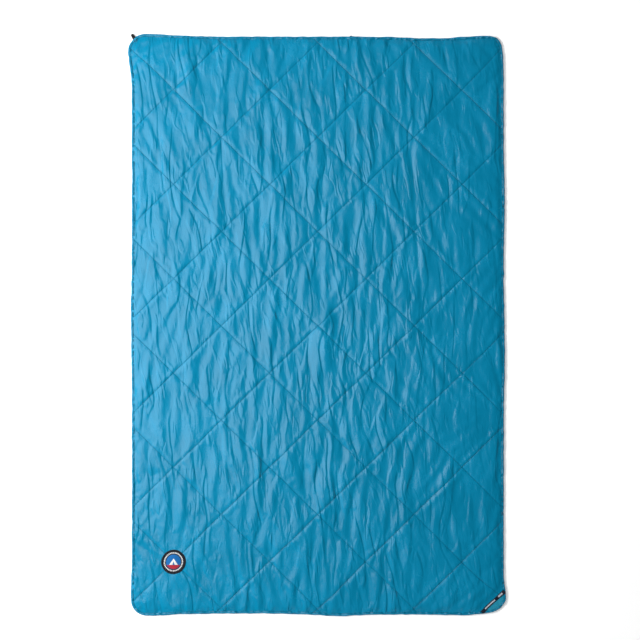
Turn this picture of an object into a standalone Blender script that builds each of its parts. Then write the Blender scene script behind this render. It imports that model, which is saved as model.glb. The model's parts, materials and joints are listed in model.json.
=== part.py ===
"""A quilted camp blanket, lying flat and face up.

Metres, +Z up. The origin is on the underside, at the middle of the blanket. +Y points to the end
with the hanging loop, +X to the side with the corner ribbon. The blanket folds in half about a
line across its middle, so every layer that crosses that line is made in two halves.
"""

import math

import bmesh
import bpy
from mathutils import Vector

# Driving dimensions
WIDTH = 1.32
LENGTH = 2.04
CORNER_RADIUS = 0.052
ARC_STEPS = 8
THICKNESS = 0.015
CLOTH = 0.0005
THREAD = 0.0004
GAP = 0.0003
FOLD_GAP = 0.0006

# Diamond quilting: half of one diamond's width and length
QUILT_X = 0.170
QUILT_Y = 0.1665
THREAD_WIDTH = 0.0012
FOLD_CLEAR = 0.004

# Edge binding
BINDING_WIDTH = 0.010
BINDING_CLOTH = 0.0004
STITCH_INSET = 0.008

# Fold hinge, above the face so that the folded faces lie on each other
FOLD_AXIS_Z = 0.0195

# Round badge, on a crossing of the quilting
BADGE_RADIUS = 0.0435
BADGE_BORDER = 0.006
BADGE_RING = 0.011
BADGE_CLOTH = 0.0008
BADGE_SIDES = 48
BADGE_PLACE = (-3 * QUILT_X, -5 * QUILT_Y)
TENT_HALF_BASE = 0.0155
TENT_FOOT = -0.0105
TENT_TOP = 0.0125
GROUND_RADIUS = 0.0255
GROUND_GAP = 0.0004
GROUND_STEPS = 16
ROPE_INSET = 0.0025
ROPE_WIDTH = 0.0060

# Ribbon across the corner
RIBBON_LEG = 0.084
RIBBON_WIDTH = 0.013
RIBBON_LENGTH = 0.105
RIBBON_CLOTH = 0.0006
TACK_LENGTH = 0.0025
TACK_WIDTH = 0.010
BAR_WIDTH = 0.006
BARS = (("ribbon_bar_short", 0.020, 0.031), ("ribbon_bar_long", 0.042, -0.015))

# Hanging loop of round braid
LOOP_CORD = 0.0044
LOOP_BASE = 0.0096
LOOP_TIP_RADIUS = 0.0025
LOOP_REACH = 0.0165
LOOP_SHOULDER = (0.93, 0.4)
LOOP_PLACE_ANGLE = math.radians(130)
LOOP_POINTS_ANGLE = math.radians(122)
LOOP_STANDOFF = 0.0030
LOOP_HEIGHT = 0.0075

# Tab of tape under the head edge
TAB_X = 0.117
TAB_SIZE = (0.007, 0.003, 0.0015)

# Heights of the layers
BACK_SHELL_Z = THREAD + GAP
BATTING_Z = BACK_SHELL_Z + CLOTH + GAP
FACE_SHELL_Z = THICKNESS - THREAD - GAP - CLOTH
BATTING_THICKNESS = FACE_SHELL_Z - GAP - BATTING_Z
FACE_THREAD_Z = THICKNESS - THREAD
ON_FACE_Z = THICKNESS + GAP
PATCH_Z = ON_FACE_Z + THREAD + GAP
RIBBON_Z = PATCH_Z + CLOTH + GAP
ON_RIBBON_Z = RIBBON_Z + RIBBON_CLOTH + GAP
BADGE_TOP_Z = ON_FACE_Z + BADGE_CLOTH + GAP
EMBLEM_Z = BADGE_TOP_Z + THREAD + GAP

FOOT, HEAD = -1, 1


def clear_scene():
    for item in list(bpy.data.objects):
        bpy.data.objects.remove(item)


def new_collection(name):
    collection = bpy.data.collections.new(name)
    bpy.context.scene.collection.children.link(collection)
    return collection


def new_material(name, colour, roughness, metallic=0.0):
    material = bpy.data.materials.new(name)
    material.use_nodes = True
    shader = material.node_tree.nodes["Principled BSDF"]
    shader.inputs["Base Color"].default_value = (*colour, 1)
    shader.inputs["Roughness"].default_value = roughness
    shader.inputs["Metallic"].default_value = metallic
    return material


def add_part(name, data, material, parent=None):
    """A named sub-part in the blanket's collection."""
    item = bpy.data.objects.new(name, data)
    item.data.materials.append(material)
    BLANKET.objects.link(item)
    item.parent = parent
    return item


def half_outline(side, inset, fold_gap):
    """Corner points and arcs round one half, inset from its three outer edges, anticlockwise."""
    x = WIDTH / 2 - inset
    y = LENGTH / 2 - inset
    radius = CORNER_RADIUS - inset
    points = [(x, fold_gap)]
    for corner, start in (((x - radius, y - radius), 0), ((radius - x, y - radius), 90)):
        for step in range(ARC_STEPS + 1):
            angle = math.radians(start + 90 * step / ARC_STEPS)
            points.append((corner[0] + radius * math.cos(angle), corner[1] + radius * math.sin(angle)))
    points.append((-x, fold_gap))
    if side == FOOT:
        points = [(-px, -py) for px, py in points]
    return points


def flat_piece(name, outline, z, thickness, material, parent=None):
    """A flat outline with a thickness, standing on height z."""
    curve = bpy.data.curves.new(name, "CURVE")
    curve.dimensions = "2D"
    curve.fill_mode = "BOTH"
    curve.extrude = thickness / 2
    spline = curve.splines.new("POLY")
    spline.points.add(len(outline) - 1)
    for point, (x, y) in zip(spline.points, outline):
        point.co = (x, y, 0, 1)
    spline.use_cyclic_u = True
    item = add_part(name, curve, material, parent)
    item.location.z = z + thickness / 2
    return item


def swept_piece(name, path, section, material):
    """A closed section of (inward distance, height) points, carried along an outline."""
    mesh = bmesh.new()
    rings = []
    for index, (x, y) in enumerate(path):
        before = Vector(path[max(index - 1, 0)])
        after = Vector(path[min(index + 1, len(path) - 1)])
        along = (after - before).normalized()
        inward = Vector((-along.y, along.x))
        turn = 1.0
        if 0 < index < len(path) - 1:
            half_turn = (Vector((x, y)) - before).angle(after - Vector((x, y))) / 2
            turn = 1 / math.cos(half_turn)
        rings.append([mesh.verts.new((x + inward.x * d * turn, y + inward.y * d * turn, z))
                      for d, z in section])
    count = len(section)
    for first, second in zip(rings, rings[1:]):
        for k in range(count):
            n = (k + 1) % count
            mesh.faces.new((first[k], first[n], second[n], second[k]))
    mesh.faces.new(rings[0])
    mesh.faces.new(rings[-1])
    bmesh.ops.recalc_face_normals(mesh, faces=mesh.faces)
    data = bpy.data.meshes.new(name)
    mesh.to_mesh(data)
    mesh.free()
    return add_part(name, data, material)


def edge_binding(name, side, material):
    """A folded strip that wraps the three outer edges of one half."""
    section = [
        (0, 0), (BINDING_WIDTH, 0), (BINDING_WIDTH, BINDING_CLOTH), (BINDING_CLOTH, BINDING_CLOTH),
        (BINDING_CLOTH, THICKNESS - BINDING_CLOTH), (BINDING_WIDTH, THICKNESS - BINDING_CLOTH),
        (BINDING_WIDTH, THICKNESS), (0, THICKNESS),
    ]
    return swept_piece(name, half_outline(side, 0, FOLD_GAP / 2), section, material)


def binding_stitch(name, side, material):
    """The line of stitching that holds the binding down."""
    low, high = ON_FACE_Z, ON_FACE_Z + THREAD
    near, far = STITCH_INSET, STITCH_INSET + THREAD_WIDTH
    section = [(near, low), (far, low), (far, high), (near, high)]
    return swept_piece(name, half_outline(side, 0, FOLD_GAP / 2), section, material)


def quilting(name, side, z, material):
    """One half's crossing stitch lines as a flat lattice, thickened upward from height z."""
    x_end = WIDTH / 2 - BINDING_WIDTH - 2 * GAP
    columns = int(x_end / QUILT_X)
    rows = int((LENGTH / 2 - BINDING_WIDTH) / QUILT_Y)
    thread_share = THREAD_WIDTH / math.hypot(QUILT_X, QUILT_Y)
    reach_x, reach_y = thread_share * QUILT_X, thread_share * QUILT_Y
    mesh = bmesh.new()

    def vert(x, y):
        return mesh.verts.new((x, side * y, z))

    crossings = {}
    for i in range(-columns, columns + 1):
        for j in range(1, rows + 1):
            if (i + j) % 2 == 0:
                x, y = i * QUILT_X, j * QUILT_Y
                crossings[i, j] = {
                    (1, 0): vert(x + reach_x, y), (0, 1): vert(x, y + reach_y),
                    (-1, 0): vert(x - reach_x, y), (0, -1): vert(x, y - reach_y),
                }
    for corners in crossings.values():
        mesh.faces.new([corners[key] for key in ((1, 0), (0, 1), (-1, 0), (0, -1))])
    for (i, j), corners in crossings.items():
        for step_x in (-1, 1):
            for step_y in (-1, 1):
                begin = corners[step_x, 0], corners[0, step_y]
                other = crossings.get((i + step_x, j + step_y))
                if other:
                    if step_x == 1:
                        mesh.faces.new((*begin, other[-step_x, 0], other[0, -step_y]))
                    continue
                if j + step_y > rows:
                    continue
                before_fold = 1 - FOLD_CLEAR / QUILT_Y if j + step_y == 0 else 1
                before_side = x_end / QUILT_X - abs(i) if abs(i + step_x) > columns else 1
                run = Vector((step_x * QUILT_X, step_y * QUILT_Y)) * min(before_fold, before_side)
                ends = [vert(i * QUILT_X + run.x, j * QUILT_Y + run.y + offset)
                        for offset in (reach_y * step_y, -reach_y * step_y)]
                mesh.faces.new((begin[1], begin[0], ends[1], ends[0]))
    bmesh.ops.recalc_face_normals(mesh, faces=mesh.faces)
    if mesh.faces[0].normal.z < 0:
        bmesh.ops.reverse_faces(mesh, faces=mesh.faces)
    data = bpy.data.meshes.new(name)
    mesh.to_mesh(data)
    mesh.free()
    item = add_part(name, data, material)
    thicken = item.modifiers.new("thread thickness", "SOLIDIFY")
    thicken.thickness = THREAD
    thicken.offset = 1
    return item


def disc(name, radius, z, thickness, material, parent):
    bpy.ops.mesh.primitive_cylinder_add(vertices=BADGE_SIDES, radius=radius, depth=thickness)
    item = bpy.context.object
    return adopt(item, name, (0, 0, z + thickness / 2), material, parent)


def adopt(item, name, place, material, parent=None):
    """Names a primitive, gives it its material and moves it into the blanket's collection."""
    item.name = name
    for collection in list(item.users_collection):
        collection.objects.unlink(item)
    BLANKET.objects.link(item)
    item.data.materials.append(material)
    item.parent = parent
    item.location = place
    return item


def ring(name, outer, inner, z, thickness, material, parent):
    """A flat ring: a rectangle beside the axis, turned about it."""
    mesh = bmesh.new()
    corners = [mesh.verts.new(co) for co in
               ((outer, 0, thickness), (outer, 0, 0), (inner, 0, 0), (inner, 0, thickness))]
    for first, second in zip(corners, corners[1:] + corners[:1]):
        mesh.edges.new((first, second))
    data = bpy.data.meshes.new(name)
    mesh.to_mesh(data)
    mesh.free()
    item = add_part(name, data, material, parent)
    item.location.z = z
    turn = item.modifiers.new("turned ring", "SCREW")
    turn.steps = turn.render_steps = BADGE_SIDES
    turn.use_merge_vertices = True
    turn.merge_threshold = 0.00001
    return item


def box(name, size, place, turn_z, material, parent=None):
    bpy.ops.mesh.primitive_cube_add(size=1)
    item = bpy.context.object
    item.data.transform(((size[0], 0, 0, 0), (0, size[1], 0, 0), (0, 0, size[2], 0), (0, 0, 0, 1)))
    adopt(item, name, place, material, parent)
    item.rotation_euler.z = turn_z
    return item


def badge():
    """A sewn-on round badge: dark base, overlocked border, white rope ring, and a tent on a disc."""
    centre = bpy.data.objects.new("badge_centre", None)
    BLANKET.objects.link(centre)
    centre.location = (*BADGE_PLACE, 0)
    inside = BADGE_RADIUS - BADGE_BORDER
    disc("badge_base", inside - GAP, ON_FACE_Z, BADGE_CLOTH, BADGE_BLACK, centre)
    ring("badge_border", BADGE_RADIUS, inside, ON_FACE_Z, BADGE_CLOTH * 2, BADGE_BLACK, centre)
    rope = inside - ROPE_INSET
    ring("badge_rope", rope, rope - ROPE_WIDTH, BADGE_TOP_Z, THREAD, BADGE_WHITE, centre)
    disc("badge_field", inside - BADGE_RING, BADGE_TOP_Z, THREAD, BADGE_BLUE, centre)
    tent = [(-TENT_HALF_BASE, TENT_FOOT), (TENT_HALF_BASE, TENT_FOOT), (0, TENT_TOP)]
    flat_piece("badge_tent", tent, EMBLEM_Z, THREAD, BADGE_CREAM, centre)
    rise = math.asin((TENT_FOOT - GROUND_GAP) / GROUND_RADIUS)
    ground = []
    for step in range(GROUND_STEPS + 1):
        angle = -math.pi - rise + (math.pi + 2 * rise) * step / GROUND_STEPS
        ground.append((GROUND_RADIUS * math.cos(angle), GROUND_RADIUS * math.sin(angle)))
    flat_piece("badge_ground", ground, EMBLEM_Z, THREAD, BADGE_RED, centre)


def corner_ribbon():
    """A ribbon sewn across the corner over a corner patch, with two woven bars and its tacks."""
    x, y = WIDTH / 2, -LENGTH / 2
    inset = BINDING_WIDTH + GAP
    radius = CORNER_RADIUS - inset
    corner = Vector((x - CORNER_RADIUS, y + CORNER_RADIUS))
    patch = [(x - RIBBON_LEG, y + inset)]
    for step in range(ARC_STEPS + 1):
        angle = math.radians(-90 + 90 * step / ARC_STEPS)
        patch.append((corner.x + radius * math.cos(angle), corner.y + radius * math.sin(angle)))
    patch.append((x - inset, y + RIBBON_LEG))
    flat_piece("corner_patch", patch, PATCH_Z, CLOTH, PATCH_NYLON)
    middle = Vector((x - RIBBON_LEG / 2, y + RIBBON_LEG / 2))
    along = Vector((1, 1)).normalized()
    slant = math.radians(45)
    box("corner_ribbon", (RIBBON_LENGTH, RIBBON_WIDTH, RIBBON_CLOTH),
        (*middle, RIBBON_Z + RIBBON_CLOTH / 2), slant, RIBBON_BLACK)
    top = ON_RIBBON_Z + THREAD / 2
    for name, length, shift in BARS:
        place = middle + along * shift
        box(name, (length, BAR_WIDTH, THREAD), (*place, top), slant, RIBBON_GREY)
    for name, end in (("ribbon_tack_foot", -1), ("ribbon_tack_side", 1)):
        place = middle + along * end * (RIBBON_LENGTH / 2 - 2 * TACK_LENGTH)
        box(name, (TACK_LENGTH, TACK_WIDTH, THREAD), (*place, top), slant, DARK_THREAD)


def hanging_loop():
    """A teardrop of round braid that swings on its sewn root at the head corner."""
    outward = Vector((math.cos(LOOP_PLACE_ANGLE), math.sin(LOOP_PLACE_ANGLE)))
    corner = Vector((CORNER_RADIUS - WIDTH / 2, LENGTH / 2 - CORNER_RADIUS))
    root = corner + outward * (CORNER_RADIUS + LOOP_STANDOFF)
    hinge = bpy.data.objects.new("loop_root", None)
    BLANKET.objects.link(hinge)
    hinge.location = (*root, LOOP_HEIGHT)
    hinge.rotation_euler.z = LOOP_POINTS_ANGLE - math.radians(90)
    tip = LOOP_REACH - LOOP_TIP_RADIUS - LOOP_CORD / 2
    shoulder = (LOOP_BASE / 2 * LOOP_SHOULDER[0], tip * LOOP_SHOULDER[1])
    route = [(-LOOP_BASE / 2, 0), (-shoulder[0], shoulder[1])]
    for step in range(9):
        angle = math.radians(180 - 180 * step / 8)
        route.append((LOOP_TIP_RADIUS * math.cos(angle), tip + LOOP_TIP_RADIUS * math.sin(angle)))
    route += [shoulder, (LOOP_BASE / 2, 0)]
    curve = bpy.data.curves.new("hang_loop", "CURVE")
    curve.dimensions = "3D"
    curve.bevel_depth = LOOP_CORD / 2
    curve.bevel_resolution = 2
    curve.use_fill_caps = True
    spline = curve.splines.new("POLY")
    spline.points.add(len(route) - 1)
    for point, (x, y) in zip(spline.points, route):
        point.co = (x, y, 0, 1)
    add_part("hang_loop", curve, LOOP_BRAID, hinge)
    tack_place = corner + outward * (CORNER_RADIUS - STITCH_INSET / 2)
    box("loop_tack", (LOOP_BASE + LOOP_CORD, TACK_LENGTH, THREAD),
        (*tack_place, ON_FACE_Z + THREAD / 2), LOOP_PLACE_ANGLE - math.radians(90), DARK_THREAD)


def edge_tab():
    """The end of a piece of tape caught in the seam of the head edge."""
    place = (TAB_X, LENGTH / 2 + GAP + TAB_SIZE[1] / 2, THICKNESS / 2)
    box("edge_tab", TAB_SIZE, place, 0, RIBBON_BLACK)


def blanket_half(prefix, side):
    """The layers of one half, from the underside up."""
    shell_inset = BINDING_CLOTH + GAP
    gap = FOLD_GAP / 2
    shell = half_outline(side, shell_inset, gap)
    flat_piece(prefix + "_back_shell", shell, BACK_SHELL_Z, CLOTH, BACK_NYLON)
    flat_piece(prefix + "_batting", shell, BATTING_Z, BATTING_THICKNESS, BATTING_FILL)
    flat_piece(prefix + "_face_shell", shell, FACE_SHELL_Z, CLOTH, FACE_NYLON)
    edge_binding(prefix + "_edge_binding", side, BINDING_NYLON)
    binding_stitch(prefix + "_binding_stitch", side, TEAL_THREAD)
    quilting(prefix + "_face_quilting", side, FACE_THREAD_Z, TEAL_THREAD)
    quilting(prefix + "_back_quilting", side, 0, TEAL_THREAD)


def fold_hinge():
    """The line that the head half turns about when the blanket is folded face to face."""
    hinge = bpy.data.objects.new("fold_in_half", None)
    BLANKET.objects.link(hinge)
    hinge.location = (0, 0, FOLD_AXIS_Z)
    bpy.context.view_layer.update()
    for item in list(BLANKET.objects):
        if item.name.startswith(("head_", "loop_root", "loop_tack", "edge_tab")):
            item.parent = hinge
            item.matrix_parent_inverse = hinge.matrix_world.inverted()


clear_scene()
BLANKET = new_collection("camp_blanket")
FACE_NYLON = new_material("face_nylon", (0.015, 0.27, 0.46), 0.42)
BACK_NYLON = new_material("back_nylon", (0.015, 0.24, 0.42), 0.5)
BATTING_FILL = new_material("batting_fill", (0.85, 0.85, 0.83), 0.95)
BINDING_NYLON = new_material("binding_nylon", (0.012, 0.23, 0.41), 0.45)
TEAL_THREAD = new_material("teal_thread", (0.012, 0.2, 0.36), 0.6)
PATCH_NYLON = new_material("patch_nylon", (0.03, 0.3, 0.45), 0.45)
BADGE_BLACK = new_material("badge_black", (0.01, 0.01, 0.014), 0.7)
BADGE_WHITE = new_material("badge_white", (0.75, 0.76, 0.78), 0.7)
BADGE_BLUE = new_material("badge_blue", (0.01, 0.09, 0.38), 0.65)
BADGE_RED = new_material("badge_red", (0.36, 0.02, 0.03), 0.65)
BADGE_CREAM = new_material("badge_cream", (0.75, 0.74, 0.7), 0.7)
RIBBON_BLACK = new_material("ribbon_black", (0.006, 0.009, 0.02), 0.65)
RIBBON_GREY = new_material("ribbon_grey", (0.42, 0.44, 0.48), 0.7)
DARK_THREAD = new_material("dark_thread", (0.01, 0.01, 0.015), 0.7)
LOOP_BRAID = new_material("loop_braid", (0.012, 0.013, 0.014), 0.75)

blanket_half("foot", FOOT)
blanket_half("head", HEAD)
badge()
corner_ribbon()
hanging_loop()
edge_tab()
fold_hinge()
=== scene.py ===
"""A quilted camp blanket lying flat on a pale floor, face up.

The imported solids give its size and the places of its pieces. The face cloth is simulated: it is cut
wider than the finished blanket and drawn in by its seams, which raises its long creases. The other
pieces are laid on that surface.
"""
import json
import math

import bmesh
import bpy
import numpy as np
from mathutils import Matrix, Vector


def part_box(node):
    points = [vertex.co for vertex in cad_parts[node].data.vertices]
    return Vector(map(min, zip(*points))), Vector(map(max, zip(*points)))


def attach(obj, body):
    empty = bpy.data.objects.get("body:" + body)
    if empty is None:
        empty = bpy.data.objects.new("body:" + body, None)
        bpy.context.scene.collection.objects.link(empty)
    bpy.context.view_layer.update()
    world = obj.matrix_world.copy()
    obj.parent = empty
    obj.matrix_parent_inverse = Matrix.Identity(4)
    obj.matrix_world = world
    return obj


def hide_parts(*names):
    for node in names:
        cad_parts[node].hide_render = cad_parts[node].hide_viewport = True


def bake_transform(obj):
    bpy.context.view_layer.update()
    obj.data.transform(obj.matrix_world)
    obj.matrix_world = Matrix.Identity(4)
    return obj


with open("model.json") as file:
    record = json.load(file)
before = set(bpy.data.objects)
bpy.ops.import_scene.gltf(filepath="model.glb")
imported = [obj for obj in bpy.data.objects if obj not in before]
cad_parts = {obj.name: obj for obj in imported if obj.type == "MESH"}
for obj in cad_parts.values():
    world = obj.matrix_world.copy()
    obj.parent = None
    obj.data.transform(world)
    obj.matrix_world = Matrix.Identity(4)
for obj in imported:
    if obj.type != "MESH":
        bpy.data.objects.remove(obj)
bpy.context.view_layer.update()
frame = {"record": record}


def centre_of(node):
    """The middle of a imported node's box."""
    low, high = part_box(node)
    return (low + high) / 2


def half_span(node):
    """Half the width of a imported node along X."""
    low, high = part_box(node)
    return (high.x - low.x) / 2


# Places and sizes, read from the frame where it gives them
HALF_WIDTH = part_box("foot_edge_binding")[1].x
HALF_LENGTH = -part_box("foot_edge_binding")[0].y
CORNER_RADIUS = 0.052
RIBBON_LEG = HALF_WIDTH + HALF_LENGTH - centre_of("corner_ribbon").dot((1, -1, 0))
RIBBON_LENGTH, RIBBON_WIDTH = 0.105, 0.013
BADGE = centre_of("badge_border")
BADGE_RADIUS = half_span("badge_border")
QUILT_X = -BADGE.x / 3
QUILT_Y = -BADGE.y / 5

# Face cloth: cells per half diamond, in the simulation and in the finished surface
SIM_CELLS = 20
CELLS = 28
PLAIN_HEIGHT = 0.0108
EDGE_HEIGHT = 0.0062
BINDING_WIDTH = 0.0108
STITCH_PITCH = 0.0034
STITCH_SIZE = (0.0031, 0.00062)
CLOTH_THICKNESS = 0.0003
BEHIND_STRIDE = 2
BATTING_STRIDE = 3

# Badge, corner and loop
ROPE_STITCHES = 36
ROPE_STITCH_SIZE = (0.0066, 0.0036, 0.0012)
DOOR_HALF_WIDTH, DOOR_HEIGHT = 0.0036, 0.013
PLATE_ROUNDING = 0.00015
PATCH_REACH, PATCH_INSET = 0.084, 0.0062
SLANT = math.radians(45)
TACK_PITCH = 0.0006
TACK_STITCH_SIZE = (0.0027, 0.0007)
LOOP_SHIFT = (-0.003, 0.0025)

# Woven patterns, in radians per metre
RIPSTOP_WAVES = 1257
WEAVE_WAVES = 9000

TEAL = (0.0005, 0.195, 0.347)
FLOOR_RADIUS, WALL_HEIGHT = 14, 5


# ---------------------------------------------------------------- shapes of the outline

def hill(t, width):
    """A smooth hill, one high where t is nothing."""
    return np.exp(-((t / width) ** 2))


def bumps(t, *terms):
    """A sum of smooth bumps along t: each is (place, half width, height)."""
    return sum(height * hill(t - place, width) for place, width, height in terms)


def unit(vectors):
    """Each vector made one long."""
    return vectors / np.linalg.norm(vectors, axis=-1, keepdims=True)


def edge_wander(x, y):
    """How far the slack edges of the blanket stray from straight lines, as (x, y) shifts."""
    head = 0.0015 + bumps(x, (-0.60, 0.13, 0.0092), (0.40, 0.13, -0.0062), (0.60, 0.08, 0.0035))
    foot = bumps(x, (-0.60, 0.08, -0.0045), (-0.26, 0.20, 0.0042), (0.07, 0.08, -0.0056),
                 (0.50, 0.06, -0.0025), (0.63, 0.05, 0.0080))
    left = 0.0030 + bumps(y, (0.96, 0.07, -0.0125), (0.02, 0.16, -0.0035), (-0.94, 0.07, -0.0030))
    right = -0.0032 + bumps(y, (0.44, 0.12, 0.0036), (-0.10, 0.14, 0.0042), (0.98, 0.05, -0.0040),
                            (-0.955, 0.040, 0.0085))
    near_head, near_foot = (np.clip((side * y / HALF_LENGTH - 0.5) / 0.5, 0, 1) ** 2 for side in (1, -1))
    near_left, near_right = (np.clip((side * x / HALF_WIDTH - 0.3) / 0.7, 0, 1) ** 2 for side in (-1, 1))
    return near_left * left + near_right * right, near_head * head + near_foot * foot


def corner_parts(x, y):
    """Distances past the centre of the nearest corner's arc, and that centre's place."""
    centre_x, centre_y = HALF_WIDTH - CORNER_RADIUS, HALF_LENGTH - CORNER_RADIUS
    past_x, past_y = np.abs(x) - centre_x, np.abs(y) - centre_y
    inside = (past_x > 0) & (past_y > 0)
    return np.maximum(past_x, 1e-9), np.maximum(past_y, 1e-9), inside, centre_x, centre_y


def round_corners(x, y):
    """Bends the square corners of the flat layout round the arcs of the real outline."""
    past_x, past_y, inside, centre_x, centre_y = corner_parts(x, y)
    shrink = np.maximum(past_x, past_y) / np.hypot(past_x, past_y)
    return (np.where(inside, np.sign(x) * (centre_x + past_x * shrink), x),
            np.where(inside, np.sign(y) * (centre_y + past_y * shrink), y))


def square_corners(x, y):
    """The opposite of round_corners."""
    past_x, past_y, inside, centre_x, centre_y = corner_parts(x, y)
    grow = np.hypot(past_x, past_y) / np.maximum(past_x, past_y)
    return (np.where(inside, np.sign(x) * (centre_x + past_x * grow), x),
            np.where(inside, np.sign(y) * (centre_y + past_y * grow), y))


def rim_walk(inset, pitch):
    """Points of the flat layout all the way round the blanket, at an inset from its edge."""
    centre_x, centre_y = HALF_WIDTH - CORNER_RADIUS, HALF_LENGTH - CORNER_RADIUS
    radius = CORNER_RADIUS - inset
    points = []
    for quarter, (sx, sy) in enumerate(((1, 1), (-1, 1), (-1, -1), (1, -1))):
        corner = np.array((sx * centre_x, sy * centre_y))
        turns = int(CORNER_RADIUS * math.pi / 2 / pitch)
        angles = np.radians(90 * quarter + 90 * np.arange(turns + 1) / turns)
        round_part = np.stack((np.cos(angles), np.sin(angles)), 1)
        points.append(corner + radius * round_part / np.abs(round_part).max(1, keepdims=True))
        length = 2 * (centre_x if quarter % 2 == 0 else centre_y)
        steps = int(length / pitch)
        along = np.array(((-1, 0), (0, -1), (1, 0), (0, 1))[quarter])
        share = np.arange(1, steps)[:, None] / steps
        points.append(points[-1][-1] + along * length * share)
    return np.concatenate(points)


def seam_distance(x, y):
    """Distance from the nearest line of the diamond quilting."""
    u, v = x / QUILT_X + y / QUILT_Y, x / QUILT_X - y / QUILT_Y
    to_line = np.minimum(np.abs((u + 1) % 2 - 1), np.abs((v + 1) % 2 - 1))
    return to_line * QUILT_X * QUILT_Y / math.hypot(QUILT_X, QUILT_Y)


def edge_distance(x, y):
    return np.minimum(HALF_WIDTH - np.abs(x), HALF_LENGTH - np.abs(y))


def soft_noise(shape, spacing, grain, seed, lean=0.0):
    """Smooth noise of unit strength: grain is its size in metres along (x, y)."""
    rows, columns = shape
    rough = np.random.default_rng(seed).standard_normal(shape)
    wave_x = np.fft.fftfreq(columns, spacing[0])[None, :]
    wave_y = np.fft.fftfreq(rows, spacing[1])[:, None]
    kept = np.exp(-2 * (((wave_x + lean * wave_y) * grain[0]) ** 2 + (wave_y * grain[1]) ** 2))
    smooth = np.fft.ifft2(np.fft.fft2(rough) * kept).real
    return smooth / smooth.std()


# ---------------------------------------------------------------- the cloth

class Layout:
    """A flat grid over the blanket whose lines pass through the quilting's crossings."""

    def __init__(self, cells):
        self.step = np.array((QUILT_X, QUILT_Y)) / cells
        self.right = int((HALF_WIDTH - 0.0035) / self.step[0])
        self.top = int((HALF_LENGTH - 0.0030) / self.step[1])
        self.x, self.y = np.meshgrid(np.arange(-self.right, self.right + 1) * self.step[0],
                                     np.arange(-self.top, self.top + 1) * self.step[1])
        self.seam, self.edge = seam_distance(self.x, self.y), edge_distance(self.x, self.y)

    @property
    def shape(self):
        return self.x.shape

    def noise(self, grain, seed, lean=0.0):
        return soft_noise(self.shape, self.step, grain, seed, lean)

    def read(self, values, x, y):
        """Values of this grid at any places, by cubic steps between its points."""
        rows, columns = self.shape
        column = np.clip(x / self.step[0] + self.right, 0, columns - 1.001)
        row = np.clip(y / self.step[1] + self.top, 0, rows - 1.001)
        result = 0
        for across, share_across in cubic_shares(column, columns):
            for up, share_up in cubic_shares(row, rows):
                share = share_across * share_up
                result = result + values[up, across] * (share[..., None] if values.ndim == 3 else share)
        return result


def cubic_shares(place, count):
    """The four neighbours of a place on a line of points, with their shares."""
    first = np.floor(place).astype(int)
    t = place - first
    shares = (-0.5 * t + t * t - 0.5 * t ** 3, 1 - 2.5 * t * t + 1.5 * t ** 3,
              0.5 * t + 2 * t * t - 1.5 * t ** 3, -0.5 * t * t + 0.5 * t ** 3)
    return [(np.clip(first + k - 1, 0, count - 1), share) for k, share in enumerate(shares)]


def spare_cloth(x):
    """Share of extra width in the face cloth: most across the middle, least at the right."""
    places = (-0.66, -0.50, -0.34, -0.20, 0.24, 0.36, 0.50, 0.66)
    return np.interp(x, places, (0.012, 0.012, 0.015, 0.026, 0.026, 0.014, 0.006, 0.003))


def mesh_data(name, mesh):
    """Mesh data from a bmesh, which is used up."""
    data = bpy.data.meshes.new(name)
    mesh.to_mesh(data)
    mesh.free()
    return data


def add_object(name, data):
    """A new object in the scene."""
    made = bpy.data.objects.new(name, data)
    bpy.context.scene.collection.objects.link(made)
    return made


def place_points(data, points):
    """Moves every vertex of a mesh to its place."""
    data.vertices.foreach_set("co", np.asarray(points, np.float32).ravel())
    data.update()


def grid_mesh(name, points):
    """A mesh grid whose points are rows of places."""
    rows, columns = points.shape[:2]
    mesh = bmesh.new()
    bmesh.ops.create_grid(mesh, x_segments=columns - 1, y_segments=rows - 1, size=1)
    data = mesh_data(name, mesh)
    place_points(data, points)
    return data


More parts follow.
